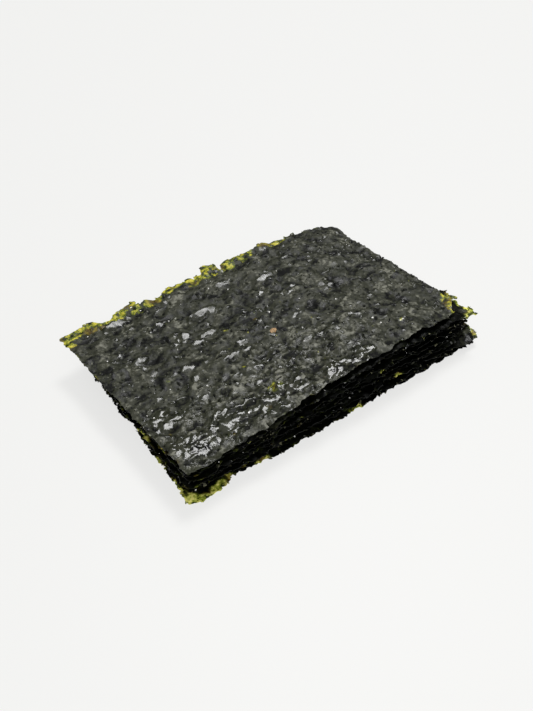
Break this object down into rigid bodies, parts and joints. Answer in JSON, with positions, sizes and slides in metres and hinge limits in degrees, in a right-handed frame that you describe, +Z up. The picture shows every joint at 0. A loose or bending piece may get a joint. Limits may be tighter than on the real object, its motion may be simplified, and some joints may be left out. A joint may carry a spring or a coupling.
{
  "type": "nori crisps",
  "caption": "Neat low stack of thin, crinkled, roasted seaweed snack sheets with ragged edges, arched a little over its middle, lying flat.",
  "frame": {"origin": "on the surface that the stack lies on, under the middle of its bounding box", "axes": "+X along the sheets' long side, +Y along their short side away from the front edge, +Z up through the stack"},
  "size_m": [0.0934, 0.0584, 0.0148],
  "materials": {
    "roasted_nori": "near-black green, crinkled, thin olive fringes",
    "oiled_nori": "dark grey-green, lightly oiled, glossy on its wrinkles"
  },
  "bodies": {
    "root": {"sheet_01": "roasted_nori", "sheet_02": "roasted_nori", "sheet_03": "roasted_nori", "sheet_04": "roasted_nori", "sheet_05": "roasted_nori", "sheet_06": "roasted_nori", "sheet_07": "roasted_nori", "sheet_08": "roasted_nori", "sheet_09": "roasted_nori", "sheet_10": "oiled_nori"}
  },
  "joints": []
}
